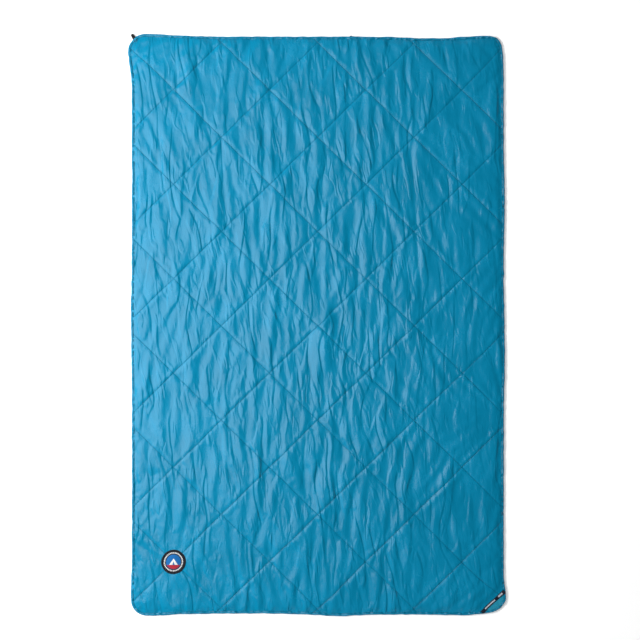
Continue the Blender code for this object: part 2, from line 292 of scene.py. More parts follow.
def drawn_in_face(layout):
    """Simulates the face cloth: cut too wide, then drawn in by its seams over a few frames."""
    seam = layout.seam < 1e-6
    rim = layout.edge < layout.edge.min() + layout.step.max()
    rim &= (np.abs(layout.x) > layout.x.max() - 1e-6) | (np.abs(layout.y) > layout.y.max() - 1e-6)
    flat = PLAIN_HEIGHT - (PLAIN_HEIGHT - EDGE_HEIGHT) * hill(layout.edge, 0.03)
    flat -= 0.0008 * hill(layout.seam, 0.006)
    start = flat + np.where(rim, 0, 0.0018 * layout.noise((0.046, 0.15), 1, 0.12))
    start += long_creases(layout) * ~rim
    sewn = np.stack((layout.x, layout.y, flat), 2)
    line = layout.x[0]
    patchy = np.clip(0.9 + 0.45 * layout.noise((0.10, 0.26), 9), 0.1, 1.8)
    widths = (1 + spare_cloth(line) * patchy) * layout.step[0]
    cut_x = np.cumsum(widths, axis=1)
    cut_x -= cut_x[:, layout.right, None]
    cut = np.stack((cut_x, layout.y * 1.004, start), 2)

    cloth = add_object("face being sewn", grid_mesh("face being sewn", cut))
    held = cloth.vertex_groups.new(name="held")
    for chosen, weight in ((~seam & ~rim, 0.2), (seam & ~rim, 0.66), (rim, 1.0)):
        held.add(np.flatnonzero(chosen.ravel()).tolist(), weight, "REPLACE")
    cloth.shape_key_add(name="cut")
    drawn = cloth.shape_key_add(name="sewn")
    drawn.data.foreach_set("co", sewn.astype(np.float32).ravel())
    frames = 24
    for value, at in ((0, 1), (1, int(frames * 0.6))):
        drawn.value = value
        drawn.keyframe_insert("value", frame=at)
    modifier = cloth.modifiers.new("nylon", "CLOTH")
    modifier.collision_settings.use_collision = False
    modifier.point_cache.frame_end = frames + 1
    nylon = modifier.settings
    nylon.quality = 3
    nylon.mass = 0.02
    nylon.tension_stiffness = nylon.compression_stiffness = 30
    nylon.shear_stiffness = 10
    nylon.bending_stiffness = 2
    nylon.tension_damping = nylon.compression_damping = nylon.shear_damping = 1
    nylon.bending_damping = 0.2
    nylon.air_damping = 1
    nylon.vertex_group_mass = "held"
    nylon.effector_weights.gravity = 0
    for at in range(1, frames + 1):
        bpy.context.scene.frame_set(at)
    settled = cloth.evaluated_get(bpy.context.evaluated_depsgraph_get())
    places = np.empty(layout.x.size * 3, np.float32)
    settled.data.vertices.foreach_get("co", places)
    bpy.data.objects.remove(cloth)
    bpy.context.scene.frame_set(1)
    return places.reshape(*layout.shape, 3).astype(float)


def long_creases(layout):
    """The few long folds that run down the blanket, as (x, y, half width, half length, height)."""
    creases = (
        (0.353, 0.25, 0.010, 0.80, -0.0030), (0.372, 0.15, 0.010, 0.70, 0.0028),
        (0.500, 0.10, 0.012, 0.65, 0.0030), (0.470, -0.45, 0.010, 0.30, 0.0024),
        (-0.310, 0.30, 0.013, 0.30, 0.0035), (-0.190, 0.64, 0.014, 0.16, -0.0035),
        (-0.165, 0.62, 0.012, 0.18, 0.0035), (-0.325, -0.32, 0.013, 0.14, 0.0035),
        (0.100, 0.25, 0.012, 0.22, 0.0030), (0.150, -0.10, 0.012, 0.20, 0.0030),
    )
    height = 0
    for x, y, half_width, half_length, rise in creases:
        bend = x + 0.006 * np.sin((layout.y - y) / half_length * 3 + x * 40) - 0.06 * (layout.y - y)
        height = height + rise * np.exp(-(((layout.x - bend) / half_width) ** 2)
                                        - ((layout.y - y) / half_length) ** 4)
    return height


def crumples(layout):
    """Creases left by packing: flat panes of cloth that meet in sharp, winding valleys."""
    slack = np.interp(layout.x, (-0.66, -0.45, -0.2, 0.25, 0.42, 0.66), (0.8, 0.85, 1.1, 1.1, 0.7, 0.35))
    height = 0
    for grain, depth, seed, lean in (((0.070, 0.24), 0.0026, 12, 0.12), ((0.036, 0.14), 0.0006, 13, -0.06)):
        rough = layout.noise(grain, seed, lean)
        pane = np.sqrt(rough ** 2 + 0.02) - 0.8
        stroke = np.clip(0.55 + 0.45 * layout.noise((0.06, 0.13), seed + 10), 0.05, 1.4)
        height = height + depth * stroke * pane
    return height * slack


class Surface:
    """A finished cloth surface that other pieces are laid on."""

    def __init__(self, layout, points, up):
        self.layout, self.points, self.side = layout, points, up
        along = np.gradient(points, axis=1)
        across = np.gradient(points, axis=0)
        self.normals = unit(np.cross(along, across) * up)

    def at(self, x, y, above=0.0):
        """Places on the surface at points of the flat layout, raised along its normal."""
        x, y = np.asarray(x, float), np.asarray(y, float)
        last_x, last_y = np.array((self.layout.right, self.layout.top)) * self.layout.step
        inner_x, inner_y = np.clip(x, -last_x, last_x), np.clip(y, -last_y, last_y)
        outside = (finished_outline(np.stack((x, y, 0 * x), -1))
                   - finished_outline(np.stack((inner_x, inner_y, 0 * x), -1)))
        lift = np.asarray(above, float)[..., None]
        return self.layout.read(self.points, x, y) + outside + self.normal(x, y) * lift

    def normal(self, x, y):
        return unit(self.layout.read(self.normals, x, y))


def finished_outline(points):
    """Rounds the corners and lets the edges wander."""
    x, y = round_corners(points[..., 0], points[..., 1])
    shift_x, shift_y = edge_wander(x, y)
    return np.stack((x + shift_x, y + shift_y, points[..., 2]), -1)


def face_surface(layout):
    """The face: the simulated cloth with its seams, puckers and flat places added."""
    rough = Layout(SIM_CELLS)
    drawn = drawn_in_face(rough)
    drawn[..., 0] -= rough.x
    drawn[..., 1] -= rough.y
    moved = rough.read(drawn, layout.x, layout.y)
    x, y, z = layout.x + moved[..., 0], layout.y + moved[..., 1], moved[..., 2]
    seam, edge = layout.seam, layout.edge
    pucker = layout.noise((0.014, 0.024), 5)
    inward = np.clip(edge / 0.03, 0, 1)
    z = PLAIN_HEIGHT + (z - PLAIN_HEIGHT) * (1 - 0.6 * inward) + crumples(layout) * (0.3 + 0.7 * inward)
    x = x + 0.5 * (z - PLAIN_HEIGHT) * inward
    z = z - 0.0010 * hill(seam, 0.003) * (1 + 0.25 * pucker)
    z += 0.0003 * pucker * hill(seam, 0.016)
    z += 0.0007 * layout.noise((0.009, 0.009), 6) * hill(edge, 0.028)
    calm = hill(np.maximum(edge - 0.008, 0), 0.006)
    z = z * (1 - 0.6 * calm) + EDGE_HEIGHT * 0.6 * calm
    from_badge = np.hypot(layout.x - BADGE.x, layout.y - BADGE.y)
    under_badge = 1 / (1 + np.exp((from_badge - BADGE_RADIUS - 0.004) / 0.003))
    z = z * (1 - under_badge) + z[from_badge < BADGE_RADIUS].mean() * under_badge
    outside = (layout.x - HALF_WIDTH) - (layout.y + HALF_LENGTH) + RIBBON_LEG
    in_corner = 0.98 / (1 + np.exp(-(outside + 0.034) / 0.007))
    z = z * (1 - in_corner) + EDGE_HEIGHT * 1.08 * in_corner
    return Surface(layout, finished_outline(np.stack((x, y, z), 2)), 1), z


def back_surface(layout, face_height):
    """The back: creases pressed flat where they meet the floor, drawn up at the seams."""
    turned = face_height[::-1, ::-1] - PLAIN_HEIGHT
    seam, edge = layout.seam, layout.edge
    away = np.clip((edge - 0.01) / 0.03, 0, 1)
    crease = (-0.55 * turned - 0.0002) * away
    z = 0.0004 + (crease + np.sqrt(crease ** 2 + 0.0006 ** 2)) / 2
    z += 0.0018 * hill(seam, 0.0055) * away
    z += 0.0012 * (1 - np.clip((edge - 0.004) / 0.012, 0, 1))
    return Surface(layout, finished_outline(np.stack((layout.x, layout.y, z), 2)), -1)


def spread(values, lowest):
    """Each value replaced by the lowest (or highest) of its neighbours."""
    pick = np.minimum if lowest else np.maximum
    padded = np.pad(values, 1, mode="edge")
    rows, columns = values.shape
    result = values
    for up in range(3):
        for across in range(3):
            result = pick(result, padded[up:up + rows, across:across + columns])
    return result


# ---------------------------------------------------------------- making pieces

def object_from(name, mesh, material):
    """An object from a finished bmesh or mesh, smooth shaded, with its finish."""
    if isinstance(mesh, bmesh.types.BMesh):
        bmesh.ops.recalc_face_normals(mesh, faces=mesh.faces)
        data = mesh_data(name, mesh)
    else:
        data = mesh
    data.polygons.foreach_set("use_smooth", [True] * len(data.polygons))
    data.materials.append(material)
    piece = add_object(name, data)
    return piece


def folds(piece, *nodes):
    """The piece crosses the fold from the foot half to the head half: its place is baked into its mesh and
    the parts it replaces are hidden.
    """
    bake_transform(piece)
    if nodes:
        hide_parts(*[f"{half}_{node}" for node in nodes for half in ("foot", "head")])
    return piece


def rides(piece, body, *nodes):
    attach(piece, body)
    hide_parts(*nodes)
    return piece


def write_map(data, name, places):
    """A UV map with a place for each corner of each face."""
    layer = data.uv_layers.new(name=name)
    layer.uv.foreach_set("vector", np.asarray(places, np.float32).ravel())


def corner_points(data):
    """The vertex at each face corner, and the face each corner belongs to."""
    vertex = np.empty(len(data.loops), np.int64)
    data.loops.foreach_get("vertex_index", vertex)
    size = np.empty(len(data.polygons), np.int64)
    data.polygons.foreach_get("loop_total", size)
    return vertex, np.repeat(np.arange(len(size)), size)


def doubled_cloth(name, layout, surface, material):
    """A closed sheet: the fine outer side, and a plainer inner side that stays behind it."""
    rows, columns = layout.shape
    mesh = bmesh.new()
    outer = bmesh.ops.create_grid(mesh, x_segments=columns - 1, y_segments=rows - 1, size=1)["verts"]
    bmesh.ops.translate(mesh, verts=outer, vec=(0, 0, 0.01))
    on_seam = (layout.seam < 1e-6).ravel()
    bmesh.ops.connect_verts(mesh, verts=[vertex for vertex, sewn in zip(outer, on_seam) if sewn])
    done = set(mesh.faces)
    stride = BEHIND_STRIDE
    inner_columns, inner_rows = (columns - 1) // stride, (rows - 1) // stride
    bmesh.ops.create_grid(mesh, x_segments=inner_columns, y_segments=inner_rows, size=1)
    bmesh.ops.reverse_faces(mesh, faces=[face for face in mesh.faces if face not in done])
    bmesh.ops.bridge_loops(mesh, edges=[edge for edge in mesh.edges if edge.is_boundary])
    if surface.side < 0:
        bmesh.ops.reverse_faces(mesh, faces=mesh.faces)
    data = mesh_data(name, mesh)

    behind = surface.points[..., 2]
    for _ in range(stride // 2 + 1):
        behind = spread(behind, surface.side > 0)
    inner = surface.points[::stride, ::stride].copy()
    inner[..., 2] = behind[::stride, ::stride] - surface.side * CLOTH_THICKNESS
    place_points(data, np.concatenate((surface.points.reshape(-1, 3), inner.reshape(-1, 3))))

    flat = np.stack((layout.x, layout.y), 2)
    both = np.concatenate((flat.reshape(-1, 2), flat[::stride, ::stride].reshape(-1, 2)))
    vertex, face = corner_points(data)
    write_map(data, "cloth", both[vertex])
    outer_count = rows * columns
    inner_corner = vertex >= outer_count
    inner_share = np.bincount(face, inner_corner) / np.bincount(face)
    edge_face = ((inner_share > 0) & (inner_share < 1))[face]
    pulled = np.where(inner_corner & edge_face, 1.006, 1)[:, None]
    baked = both[vertex] / (2.04 * HALF_LENGTH) * pulled + (0.325, 0.5)
    apart = inner_corner & ~edge_face
    baked[apart] = both[vertex][apart] / (4.2 * HALF_LENGTH) + (0.82, 0.26)
    write_map(data, "OFBake", baked)
    return object_from(name, data, material)


def batting_piece(layout, face, back, material):
    """The filling: one thick sheet between the two cloths."""
    stride = BATTING_STRIDE
    mesh = bmesh.new()
    rows, columns = ((count - 1) // stride for count in layout.shape)
    sides = [bmesh.ops.create_grid(mesh, x_segments=columns, y_segments=rows, size=1)["verts"]
             for _ in range(2)]
    bmesh.ops.translate(mesh, verts=sides[0], vec=(0, 0, 0.01))
    bmesh.ops.reverse_faces(mesh, faces=list({face for vertex in sides[1] for face in vertex.link_faces}))
    bmesh.ops.bridge_loops(mesh, edges=[edge for edge in mesh.edges if edge.is_boundary])
    data = mesh_data("batting", mesh)
    places = []
    for surface, clear in ((face, 0.0011), (back, 0.0007)):
        limit = surface.points[..., 2]
        for _ in range(stride):
            limit = spread(limit, surface.side > 0)
        points = surface.points[::stride, ::stride].copy()
        points[..., :2] *= 0.988
        points[..., 2] = limit[::stride, ::stride] - surface.side * clear
        places.append(points.reshape(-1, 3))
    halfway = (places[0][:, 2] + places[1][:, 2]) / 2
    places[0][:, 2] = np.maximum(places[0][:, 2], halfway + 0.0002)
    places[1][:, 2] = np.minimum(places[1][:, 2], halfway - 0.0002)
    place_points(data, np.concatenate(places))
    return object_from("batting", data, material)


def closed_band(points, across_map, along_map):
    """A ring-shaped tube: points are rows along it, each a closed loop across it."""
    rows, columns = points.shape[:2]
    points = np.concatenate((points, points[:1]))
    points = np.concatenate((points, points[:, :1]), 1)
    mesh = bmesh.new()
    bmesh.ops.create_grid(mesh, x_segments=columns, y_segments=rows, size=1, calc_uvs=False)
    mesh.verts.index_update()
    place = points.reshape(-1, 3)
    layer = mesh.loops.layers.uv.new("cloth")
    for vertex in mesh.verts:
        row, column = divmod(vertex.index, columns + 1)
        vertex.co = place[vertex.index]
        for loop in vertex.link_loops:
            loop[layer].uv = (along_map[row], across_map[column])
    bmesh.ops.remove_doubles(mesh, verts=mesh.verts, dist=1e-6)
    return mesh


def binding_piece(face, back, material):
    """A strip folded over the edge from face to back, gathered a little where it is sewn."""
    pitch = 0.004
    profile = (  # inset from the edge, share of the height, lift from the cloth
        (0.0098, 1, 0.0003), (0.0094, 1, 0.0007), (0.0080, 1, 0.0004), (0.0062, 1, 0.0011),
        (0.0040, 1, 0.0014), (0.0018, 1, 0.0006),
        (0.0003, 0.78, 0), (0.0000, 0.5, 0), (0.0003, 0.22, 0), (0.0018, 0, -0.0004),
        (0.0040, 0, -0.0007), (0.0075, 0, -0.0007), (0.0096, 0, -0.0006), (0.0098, 0, -0.0002),
        (0.0050, 0, -0.0002), (0.0016, 0.25, 0), (0.0016, 0.75, 0), (0.0050, 1, 0.0001),
    )
    count = len(rim_walk(0, pitch))
    gather = soft_noise((1, count), (pitch, 1), (0.006, 1), 21)[0]
    slack = soft_noise((1, count), (pitch, 1), (0.020, 1), 22)[0]
    rings = []
    for inset, share, lift in profile:
        flat = rim_walk(max(inset, 0.00001), pitch)
        top = face.at(*rim_walk(max(inset, 0.0045), pitch).T)[:, 2] + 0.00035 * gather * (share == 1)
        bottom = back.at(*rim_walk(max(inset, 0.0045), pitch).T)[:, 2]
        outline = finished_outline(np.concatenate((flat, np.zeros((count, 1))), 1))
        tangent = np.roll(outline, -1, 0) - np.roll(outline, 1, 0)
        outward = unit(np.stack((tangent[:, 1], -tangent[:, 0], 0 * tangent[:, 0]), 1))
        point = outline + outward * (0.0005 * slack * (1 - inset / 0.0098))[:, None]
        point[:, 2] = bottom + share * (top - bottom) + lift * (1 + 0.35 * gather * (lift > 0.0005))
        point[:, 2] = np.maximum(point[:, 2], 0.00005)
        rings.append(point)
    along = np.arange(count + 1) * pitch
    across = np.arange(len(profile) + 1) * 0.0018
    mesh = closed_band(np.stack(rings, 1), across, along)
    return object_from("edge_binding", mesh, material), rings[2], rings[11]


def bead_mesh():
    """One stitch: a tiny spindle, one unit long along X."""
    mesh = bmesh.new()
    bmesh.ops.create_uvsphere(mesh, u_segments=4, v_segments=2, radius=0.5)
    return mesh_data("stitch", mesh)


def stitches(name, middles, ends, normals, size, material):
    """Copies of one stitch, each laid along its own piece of seam."""
    along = unit(ends - middles)
    sideways = unit(np.cross(normals, along))
    up = np.cross(along, sideways)
    bead = bead_mesh()
    shape = np.empty(len(bead.vertices) * 3, np.float32)
    bead.vertices.foreach_get("co", shape)
    shape = shape.reshape(-1, 3)
    mesh = bmesh.new()
    for _ in middles:
        mesh.from_mesh(bead)
    data = mesh_data(name, mesh)
    length, width = size
    axes = np.stack((along * length, sideways * width, up * width), 1)
    place_points(data, middles[:, None] + np.einsum("vk,nkc->nvc", shape, axes))
    bpy.data.meshes.remove(bead)
    return object_from(name, data, material)


def quilt_lines():
    """Middles of the quilting's stitches and the next point along each, in the flat layout."""
    run = math.hypot(QUILT_X, QUILT_Y)
    turn = np.arange(-13, 13, STITCH_PITCH / run)
    middles, nexts = [], []
    for side in (1, -1):
        for line in range(-5, 6):
            x, y = QUILT_X * (line + turn), side * QUILT_Y * (line - turn)
            inside = (np.abs(x) < HALF_WIDTH - BINDING_WIDTH) & (np.abs(y) < HALF_LENGTH - BINDING_WIDTH)
            inside &= np.hypot(x - BADGE.x, y - BADGE.y) > BADGE_RADIUS + 0.001
            inside &= (x - HALF_WIDTH) - (y + HALF_LENGTH) < -RIBBON_LEG - 0.011
            middles.append(np.stack((x, y), 1)[inside])
            nexts.append(np.stack((x + QUILT_X * 0.01, y - side * QUILT_Y * 0.01), 1)[inside])
    return np.concatenate(middles), np.concatenate(nexts)


def laid_stitches(name, surface, middles, nexts, above, material):
    lift = np.full(len(middles), above)
    return stitches(name, surface.at(*middles.T, above=lift), surface.at(*nexts.T, above=lift),
                    surface.normal(*middles.T), STITCH_SIZE, material)


def seam_stitches(name, lines, material):
    """Stitches along closed seam lines, the first facing up and the second down."""
    middles, ends, normals = [], [], []
    for line, up in zip(lines, (1, -1)):
        closed = np.concatenate((line, line[:1]))
        length = np.concatenate(([0], np.cumsum(np.linalg.norm(np.diff(closed, axis=0), axis=1))))
        for store, at in ((middles, 0), (ends, 0.0005)):
            walk = np.arange(0, length[-1] - STITCH_PITCH, STITCH_PITCH) + at
            points = np.stack([np.interp(walk, length, closed[:, axis]) for axis in range(3)], 1)
            store.append(np.maximum(points + (0, 0, 0.0001 * up), (-9, -9, 0.00035)))
        normals.append(np.tile((0.0, 0.0, float(up)), (len(walk), 1)))
    return stitches(name, np.concatenate(middles), np.concatenate(ends), np.concatenate(normals),
                    STITCH_SIZE, material)


# ---------------------------------------------------------------- badge, ribbon, loop and tab

def lay(mesh, surface, centre=(0, 0), turn=0.0, lift=None, straight=False):
    """Lays a piece that was made flat on the cloth: its heights become heights above the cloth.

    A straight piece keeps its outline over a rounded corner, and the others follow the rounding.
    """
    made = np.array([vertex.co for vertex in mesh.verts])
    x = centre[0] + made[:, 0] * math.cos(turn) - made[:, 1] * math.sin(turn)
    y = centre[1] + made[:, 0] * math.sin(turn) + made[:, 1] * math.cos(turn)
    if straight:
        x, y = square_corners(x, y)
    above = made[:, 2] + (lift(x, y) if lift else 0)
    for vertex, place in zip(mesh.verts, surface.at(x, y, above=above)):
        vertex.co = place
    return mesh


def thicken(mesh, thickness, rounding=0.0):
    """Raises a flat face into a plate and rounds its upper rim."""
    grown = bmesh.ops.extrude_face_region(mesh, geom=list(mesh.faces))["geom"]
    top = {item for item in grown if isinstance(item, bmesh.types.BMVert)}
    bmesh.ops.translate(mesh, verts=list(top), vec=(0, 0, thickness))
    if rounding:
        caps = {item for item in grown if isinstance(item, bmesh.types.BMFace)}
        rim = [edge for edge in mesh.edges if set(edge.verts) <= top and not set(edge.link_faces) <= caps]
        bmesh.ops.bevel(mesh, geom=rim, offset=rounding, offset_type="OFFSET", segments=2, profile=0.5,
                        affect="EDGES", material=-1)
    return mesh


def disc(radius, bottom, thickness):
    mesh = bmesh.new()
    bmesh.ops.create_circle(mesh, cap_ends=True, segments=96, radius=radius)
    bmesh.ops.translate(mesh, verts=mesh.verts, vec=(0, 0, bottom))
    return thicken(mesh, thickness, PLATE_ROUNDING)


def plate(corners, bottom, thickness):
    """A flat plate of any outline."""
    mesh = bmesh.new()
    mesh.faces.new([mesh.verts.new((x, y, bottom)) for x, y in corners])
    return thicken(mesh, thickness, PLATE_ROUNDING)


def strip(length, width, bottom, thickness, segments, rib, pitch=0.002):
    """A long woven strip along X, with ribs across it."""
    mesh = bmesh.new()
    bmesh.ops.create_grid(mesh, x_segments=segments[0], y_segments=segments[1], size=0.5)
    bmesh.ops.scale(mesh, verts=mesh.verts, vec=(length, width, 1))
    bmesh.ops.translate(mesh, verts=mesh.verts, vec=(0, 0, bottom))
    thicken(mesh, thickness)
    for vertex in mesh.verts:
        if vertex.co.z > bottom + thickness / 2:
            vertex.co.z += rib * math.cos(2 * math.pi * vertex.co.x / pitch)
    return mesh


def merrowed_rim(radius, width, height, ribs):
    """A rounded rim of close slanting overlock stitches."""
    mesh = bmesh.new()
    section = bmesh.ops.create_circle(mesh, segments=10, radius=0.5)["verts"]
    bmesh.ops.rotate(mesh, verts=section, cent=(0, 0, 0), matrix=Matrix.Rotation(math.pi / 2, 3, "X"))
    bmesh.ops.scale(mesh, verts=section, vec=(width, 1, height))
    bmesh.ops.translate(mesh, verts=section, vec=(radius, 0, height / 2))
    bmesh.ops.spin(mesh, geom=mesh.verts[:] + mesh.edges[:], cent=(0, 0, 0), axis=(0, 0, 1),
                   angle=2 * math.pi, steps=ribs * 4, use_merge=True)
    for vertex in mesh.verts:
        around = math.atan2(vertex.co.y, vertex.co.x)
        out, up = math.hypot(vertex.co.x, vertex.co.y) - radius, vertex.co.z - height / 2
        swell = 1 + 0.09 * math.cos(ribs * around + 1.6 * math.atan2(up, out))
        vertex.co = ((radius + out * swell) * math.cos(around), (radius + out * swell) * math.sin(around),
                     height / 2 + up * swell)
    return mesh


def repeated(mesh, count, place):
    """Copies of one small shape, each put in place by a function of its number."""
    shape = mesh_data("one shape", mesh)
    whole = bmesh.new()
    for number in range(count):
        before = len(whole.verts)
        whole.from_mesh(shape)
        whole.verts.ensure_lookup_table()
        bmesh.ops.transform(whole, matrix=place(number), verts=whole.verts[before:])
    bpy.data.meshes.remove(shape)
    return whole


def tube(points, shape):
    """A closed round cord along points. Shape gives its radius from how far round and how far along."""
    sides, count = 16, len(points)
    ahead = unit(np.gradient(points, axis=0))
    side = unit(np.cross(ahead, (0, 0, 1.0)))
    up = np.cross(side, ahead)
    mesh = bmesh.new()
    bmesh.ops.create_grid(mesh, x_segments=sides, y_segments=count - 1, size=1)
    mesh.verts.ensure_lookup_table()
    for index, vertex in enumerate(mesh.verts):
        row, column = divmod(index, sides + 1)
        turn = 2 * math.pi * (column % sides) / sides
        radius = shape(turn, row)
        vertex.co = points[row] + radius * (math.cos(turn) * side[row] + math.sin(turn) * up[row])
    bmesh.ops.remove_doubles(mesh, verts=mesh.verts, dist=1e-7)
    bmesh.ops.holes_fill(mesh, edges=[edge for edge in mesh.edges if edge.is_boundary], sides=sides)
    return mesh


# ---------------------------------------------------------------- finishes

class Wire:
    """A shader socket that can be added, multiplied and compared like a number."""

    def __init__(self, paint, socket):
        self.paint, self.socket = paint, socket

    def maths(self, operation, first, second=0.0):
        return self.paint.node("ShaderNodeMath", {"operation": operation}, {0: first, 1: second})

    def __add__(self, other):
        return self.maths("ADD", self, other)

    def __sub__(self, other):
        return self.maths("SUBTRACT", self, other)

    def __rsub__(self, other):
        return self.maths("SUBTRACT", other, self)

    def __mul__(self, other):
        return self.maths("MULTIPLY", self, other)

    def __truediv__(self, other):
        return self.maths("DIVIDE", self, other)

    def __pow__(self, other):
        return self.maths("POWER", self, other)

    __radd__, __rmul__ = __add__, __mul__

    def wave(self):
        """The sine of this value."""
        return self.maths("SINE", self)

    def part(self):
        """What is left of this value above a whole number."""
        return self.maths("FRACT", self)

    def least(self, other):
        return self.maths("MINIMUM", self, other)

    def most(self, other):
        return self.maths("MAXIMUM", self, other)

    def size(self):
        """This value without its sign."""
        return self.maths("ABSOLUTE", self)

    def between(self, low, high, start=0.0, end=1.0):
        """This value's place from low to high, smoothly from start to end."""
        return self.paint.node("ShaderNodeMapRange", {"interpolation_type": "SMOOTHSTEP"},
                               {"Value": self, 1: low, 2: high, 3: start, 4: end})


class Paint:
    """A finish being mixed."""

    def __init__(self, name):
        self.material = bpy.data.materials.new(name)
        self.material.use_nodes = True
        self.tree = self.material.node_tree
        self.tree.nodes.clear()

    def node(self, kind, settings=None, inputs=None, output=0):
        made = self.tree.nodes.new(kind)
        for key, value in (settings or {}).items():
            setattr(made, key, value)
        for key, value in (inputs or {}).items():
            if isinstance(value, Wire):
                self.tree.links.new(value.socket, made.inputs[key])
            else:
                made.inputs[key].default_value = value
        return Wire(self, made.outputs[output])

    def place(self, scale=(1, 1, 1), turn=0.0, on=None):
        """Object coordinates, or a named map, stretched and turned for a pattern."""
        if on:
            source = self.node("ShaderNodeUVMap", {"uv_map": on})
        else:
            source = self.node("ShaderNodeTexCoord", output="Object")
        return self.node("ShaderNodeMapping", {"vector_type": "TEXTURE"},
                         {"Vector": source, "Rotation": (0, 0, turn), "Scale": tuple(1 / s for s in scale)})

    def parts(self, place):
        split = self.node("ShaderNodeSeparateXYZ", inputs={0: place})
        return [Wire(self, split.socket.node.outputs[k]) for k in range(3)]

    def noise(self, place, size=1.0, detail=2.0, roughness=0.5):
        """Soft noise, from 0 to 1."""
        inputs = {"Vector": place, "Scale": size, "Detail": detail, "Roughness": roughness}
        return self.node("ShaderNodeTexNoise", inputs=inputs)

    def mix(self, share, first, second):
        """One colour into another."""
        first, second = ((*c, 1) if isinstance(c, tuple) else c for c in (first, second))
        inputs = {"Factor": share, 6: first, 7: second}
        return self.node("ShaderNodeMix", {"data_type": "RGBA"}, inputs, output=2)

    def bump(self, height, depth, under=None):
        inputs = {"Height": height, "Distance": depth, "Strength": 1.0}
        if under:
            inputs["Normal"] = under
        return self.node("ShaderNodeBump", inputs=inputs)

    def finish(self, colour, roughness, normal=None, **steady):
        """Ends the finish in one surface shader. Steady values are set on its own sockets."""
        colour = (*colour, 1) if isinstance(colour, tuple) else colour
        inputs = {"Base Color": colour, "Roughness": roughness}
        if normal:
            inputs["Normal"] = normal
        inputs.update({key.replace("_", " "): value for key, value in steady.items()})
        surface = self.node("ShaderNodeBsdfPrincipled", inputs=inputs)
        out = self.tree.nodes.new("ShaderNodeOutputMaterial")
        self.tree.links.new(surface.socket, out.inputs["Surface"])
        return self.material


def seam_groove(across, along):
    """One on the lines of the diamond quilting, falling to nothing beside them."""
    nearest = None
    for side in (1, -1):
        line = across * (0.5 / QUILT_X) + along * (0.5 * side / QUILT_Y)
        off = ((line + 100).part() - 0.5).size()
        nearest = off if nearest is None else nearest.most(off)
    reach = 0.0018 * 0.5 * math.hypot(1 / QUILT_X, 1 / QUILT_Y)
    return nearest.between(0.5 - reach, 0.5)


def shaded(colour, by):
    return tuple(channel * by for channel in colour)


def nylon(name, colour, crinkle=1.0, gloss=0.21, on="cloth", sewn=False, hem=False):
    """Thin shiny nylon: fine woven grid, sharp creases, a slightly uneven dye, and painted shade along sewn
    seams and the binding's inner edge.
    """
    paint = Paint(name)
    flat = paint.place(on=on)
    cloudy = paint.noise(flat, 7, 3)
    across, along, _ = paint.parts(flat)
    dye_and_painted_shade = paint.mix(cloudy.between(0.3, 0.7), shaded(colour, 0.93), shaded(colour, 1.07))
    slack = across.between(0.15, 0.60, 1.0, 0.5) if sewn else 1.0
    creased = 0.0
    for pitch, bend, drop, share, sharp, lean in ((0.052, 3.0, 0.15, 1.0, (0.46, 0.56), 0.1),
                                                  (0.023, 3.4, 0.22, 0.45, (0.52, 0.62), -0.2)):
        bent = paint.noise(paint.place((0.30 / pitch, 0.17 / pitch, 1), lean, on), 1, 1)
        phase = (across / pitch + along * (0.1 / pitch) + bent * bend).part()
        profile = (phase / 0.28).least((1 - phase) / drop).least(1.0)
        stroke = paint.noise(paint.place((0.8 / pitch, 0.24 / pitch, 1), -lean, on), 1, 1).between(*sharp)
        creased = creased + profile * stroke * share
    pane = (paint.noise(paint.place((36, 11, 1), -0.12, on), 1, 2, 0.5) - 0.5).size()
    fine = paint.noise(paint.place((110, 60, 1), 0, on), 1, 3, 0.6)
    grid = (across * RIPSTOP_WAVES).wave().size() ** 24 + (along * RIPSTOP_WAVES).wave().size() ** 24
    weave = (across * WEAVE_WAVES).wave() * (along * WEAVE_WAVES).wave()
    dye_and_painted_shade = paint.mix(grid.between(0.2, 1.2) * 0.16, dye_and_painted_shade, shaded(colour, 0.82))
    normal = paint.bump((creased + pane * 0.9) * slack, 0.0017 * crinkle)
    normal = paint.bump(fine * slack, 0.0006 * crinkle, normal)
    if sewn:
        groove = seam_groove(across, along) * cloudy.between(0.2, 0.7, 0.5, 1.0)
        # Painted shade: the colour is darkened along the quilted seam grooves, where shade falls.
        dye_and_painted_shade = paint.mix(groove * 0.5, dye_and_painted_shade, shaded(colour, 0.3))
        normal = paint.bump(1 - groove, 0.0006, normal)
    if hem:
        # Painted shade: the colour is darkened in the seam groove along the binding's inner edge.
        dye_and_painted_shade = paint.mix(along.between(0.0012, 0.0046, 0.75, 0.0), dye_and_painted_shade, shaded(colour, 0.25))
    normal = paint.bump(grid * 0.5 + weave * 0.3, 0.00003, normal)
    rough = cloudy.between(0.25, 0.75, gloss - 0.03, gloss + 0.05) + fine * 0.05
    return paint.finish(dye_and_painted_shade, rough, normal, Specular_IOR_Level=0.6)


def thread(name, colour, pitch=2400.0, turn=0.6, fuzz=0.15):
    """Twisted or woven yarn: fine slanting ridges, with painted shade that darkens the hollows between
    them.
    """
    paint = Paint(name)
    across, _, high = paint.parts(paint.place(turn=turn))
    ridge = ((across + high) * pitch).wave() * 0.5 + 0.5
    patchy = paint.noise(paint.place(), 90, 2)
    # Painted shade: the hollows between the ridges are darker in the colour and the ridges lighter, with
    # some random tone mixed in.
    dye_and_painted_hollow_shade = paint.mix(ridge * 0.7 + patchy * 0.3, shaded(colour, 0.62), shaded(colour, 1.12))
    return paint.finish(dye_and_painted_hollow_shade, patchy * 0.12 + 0.49, paint.bump(ridge, 0.00012), Sheen_Weight=fuzz)


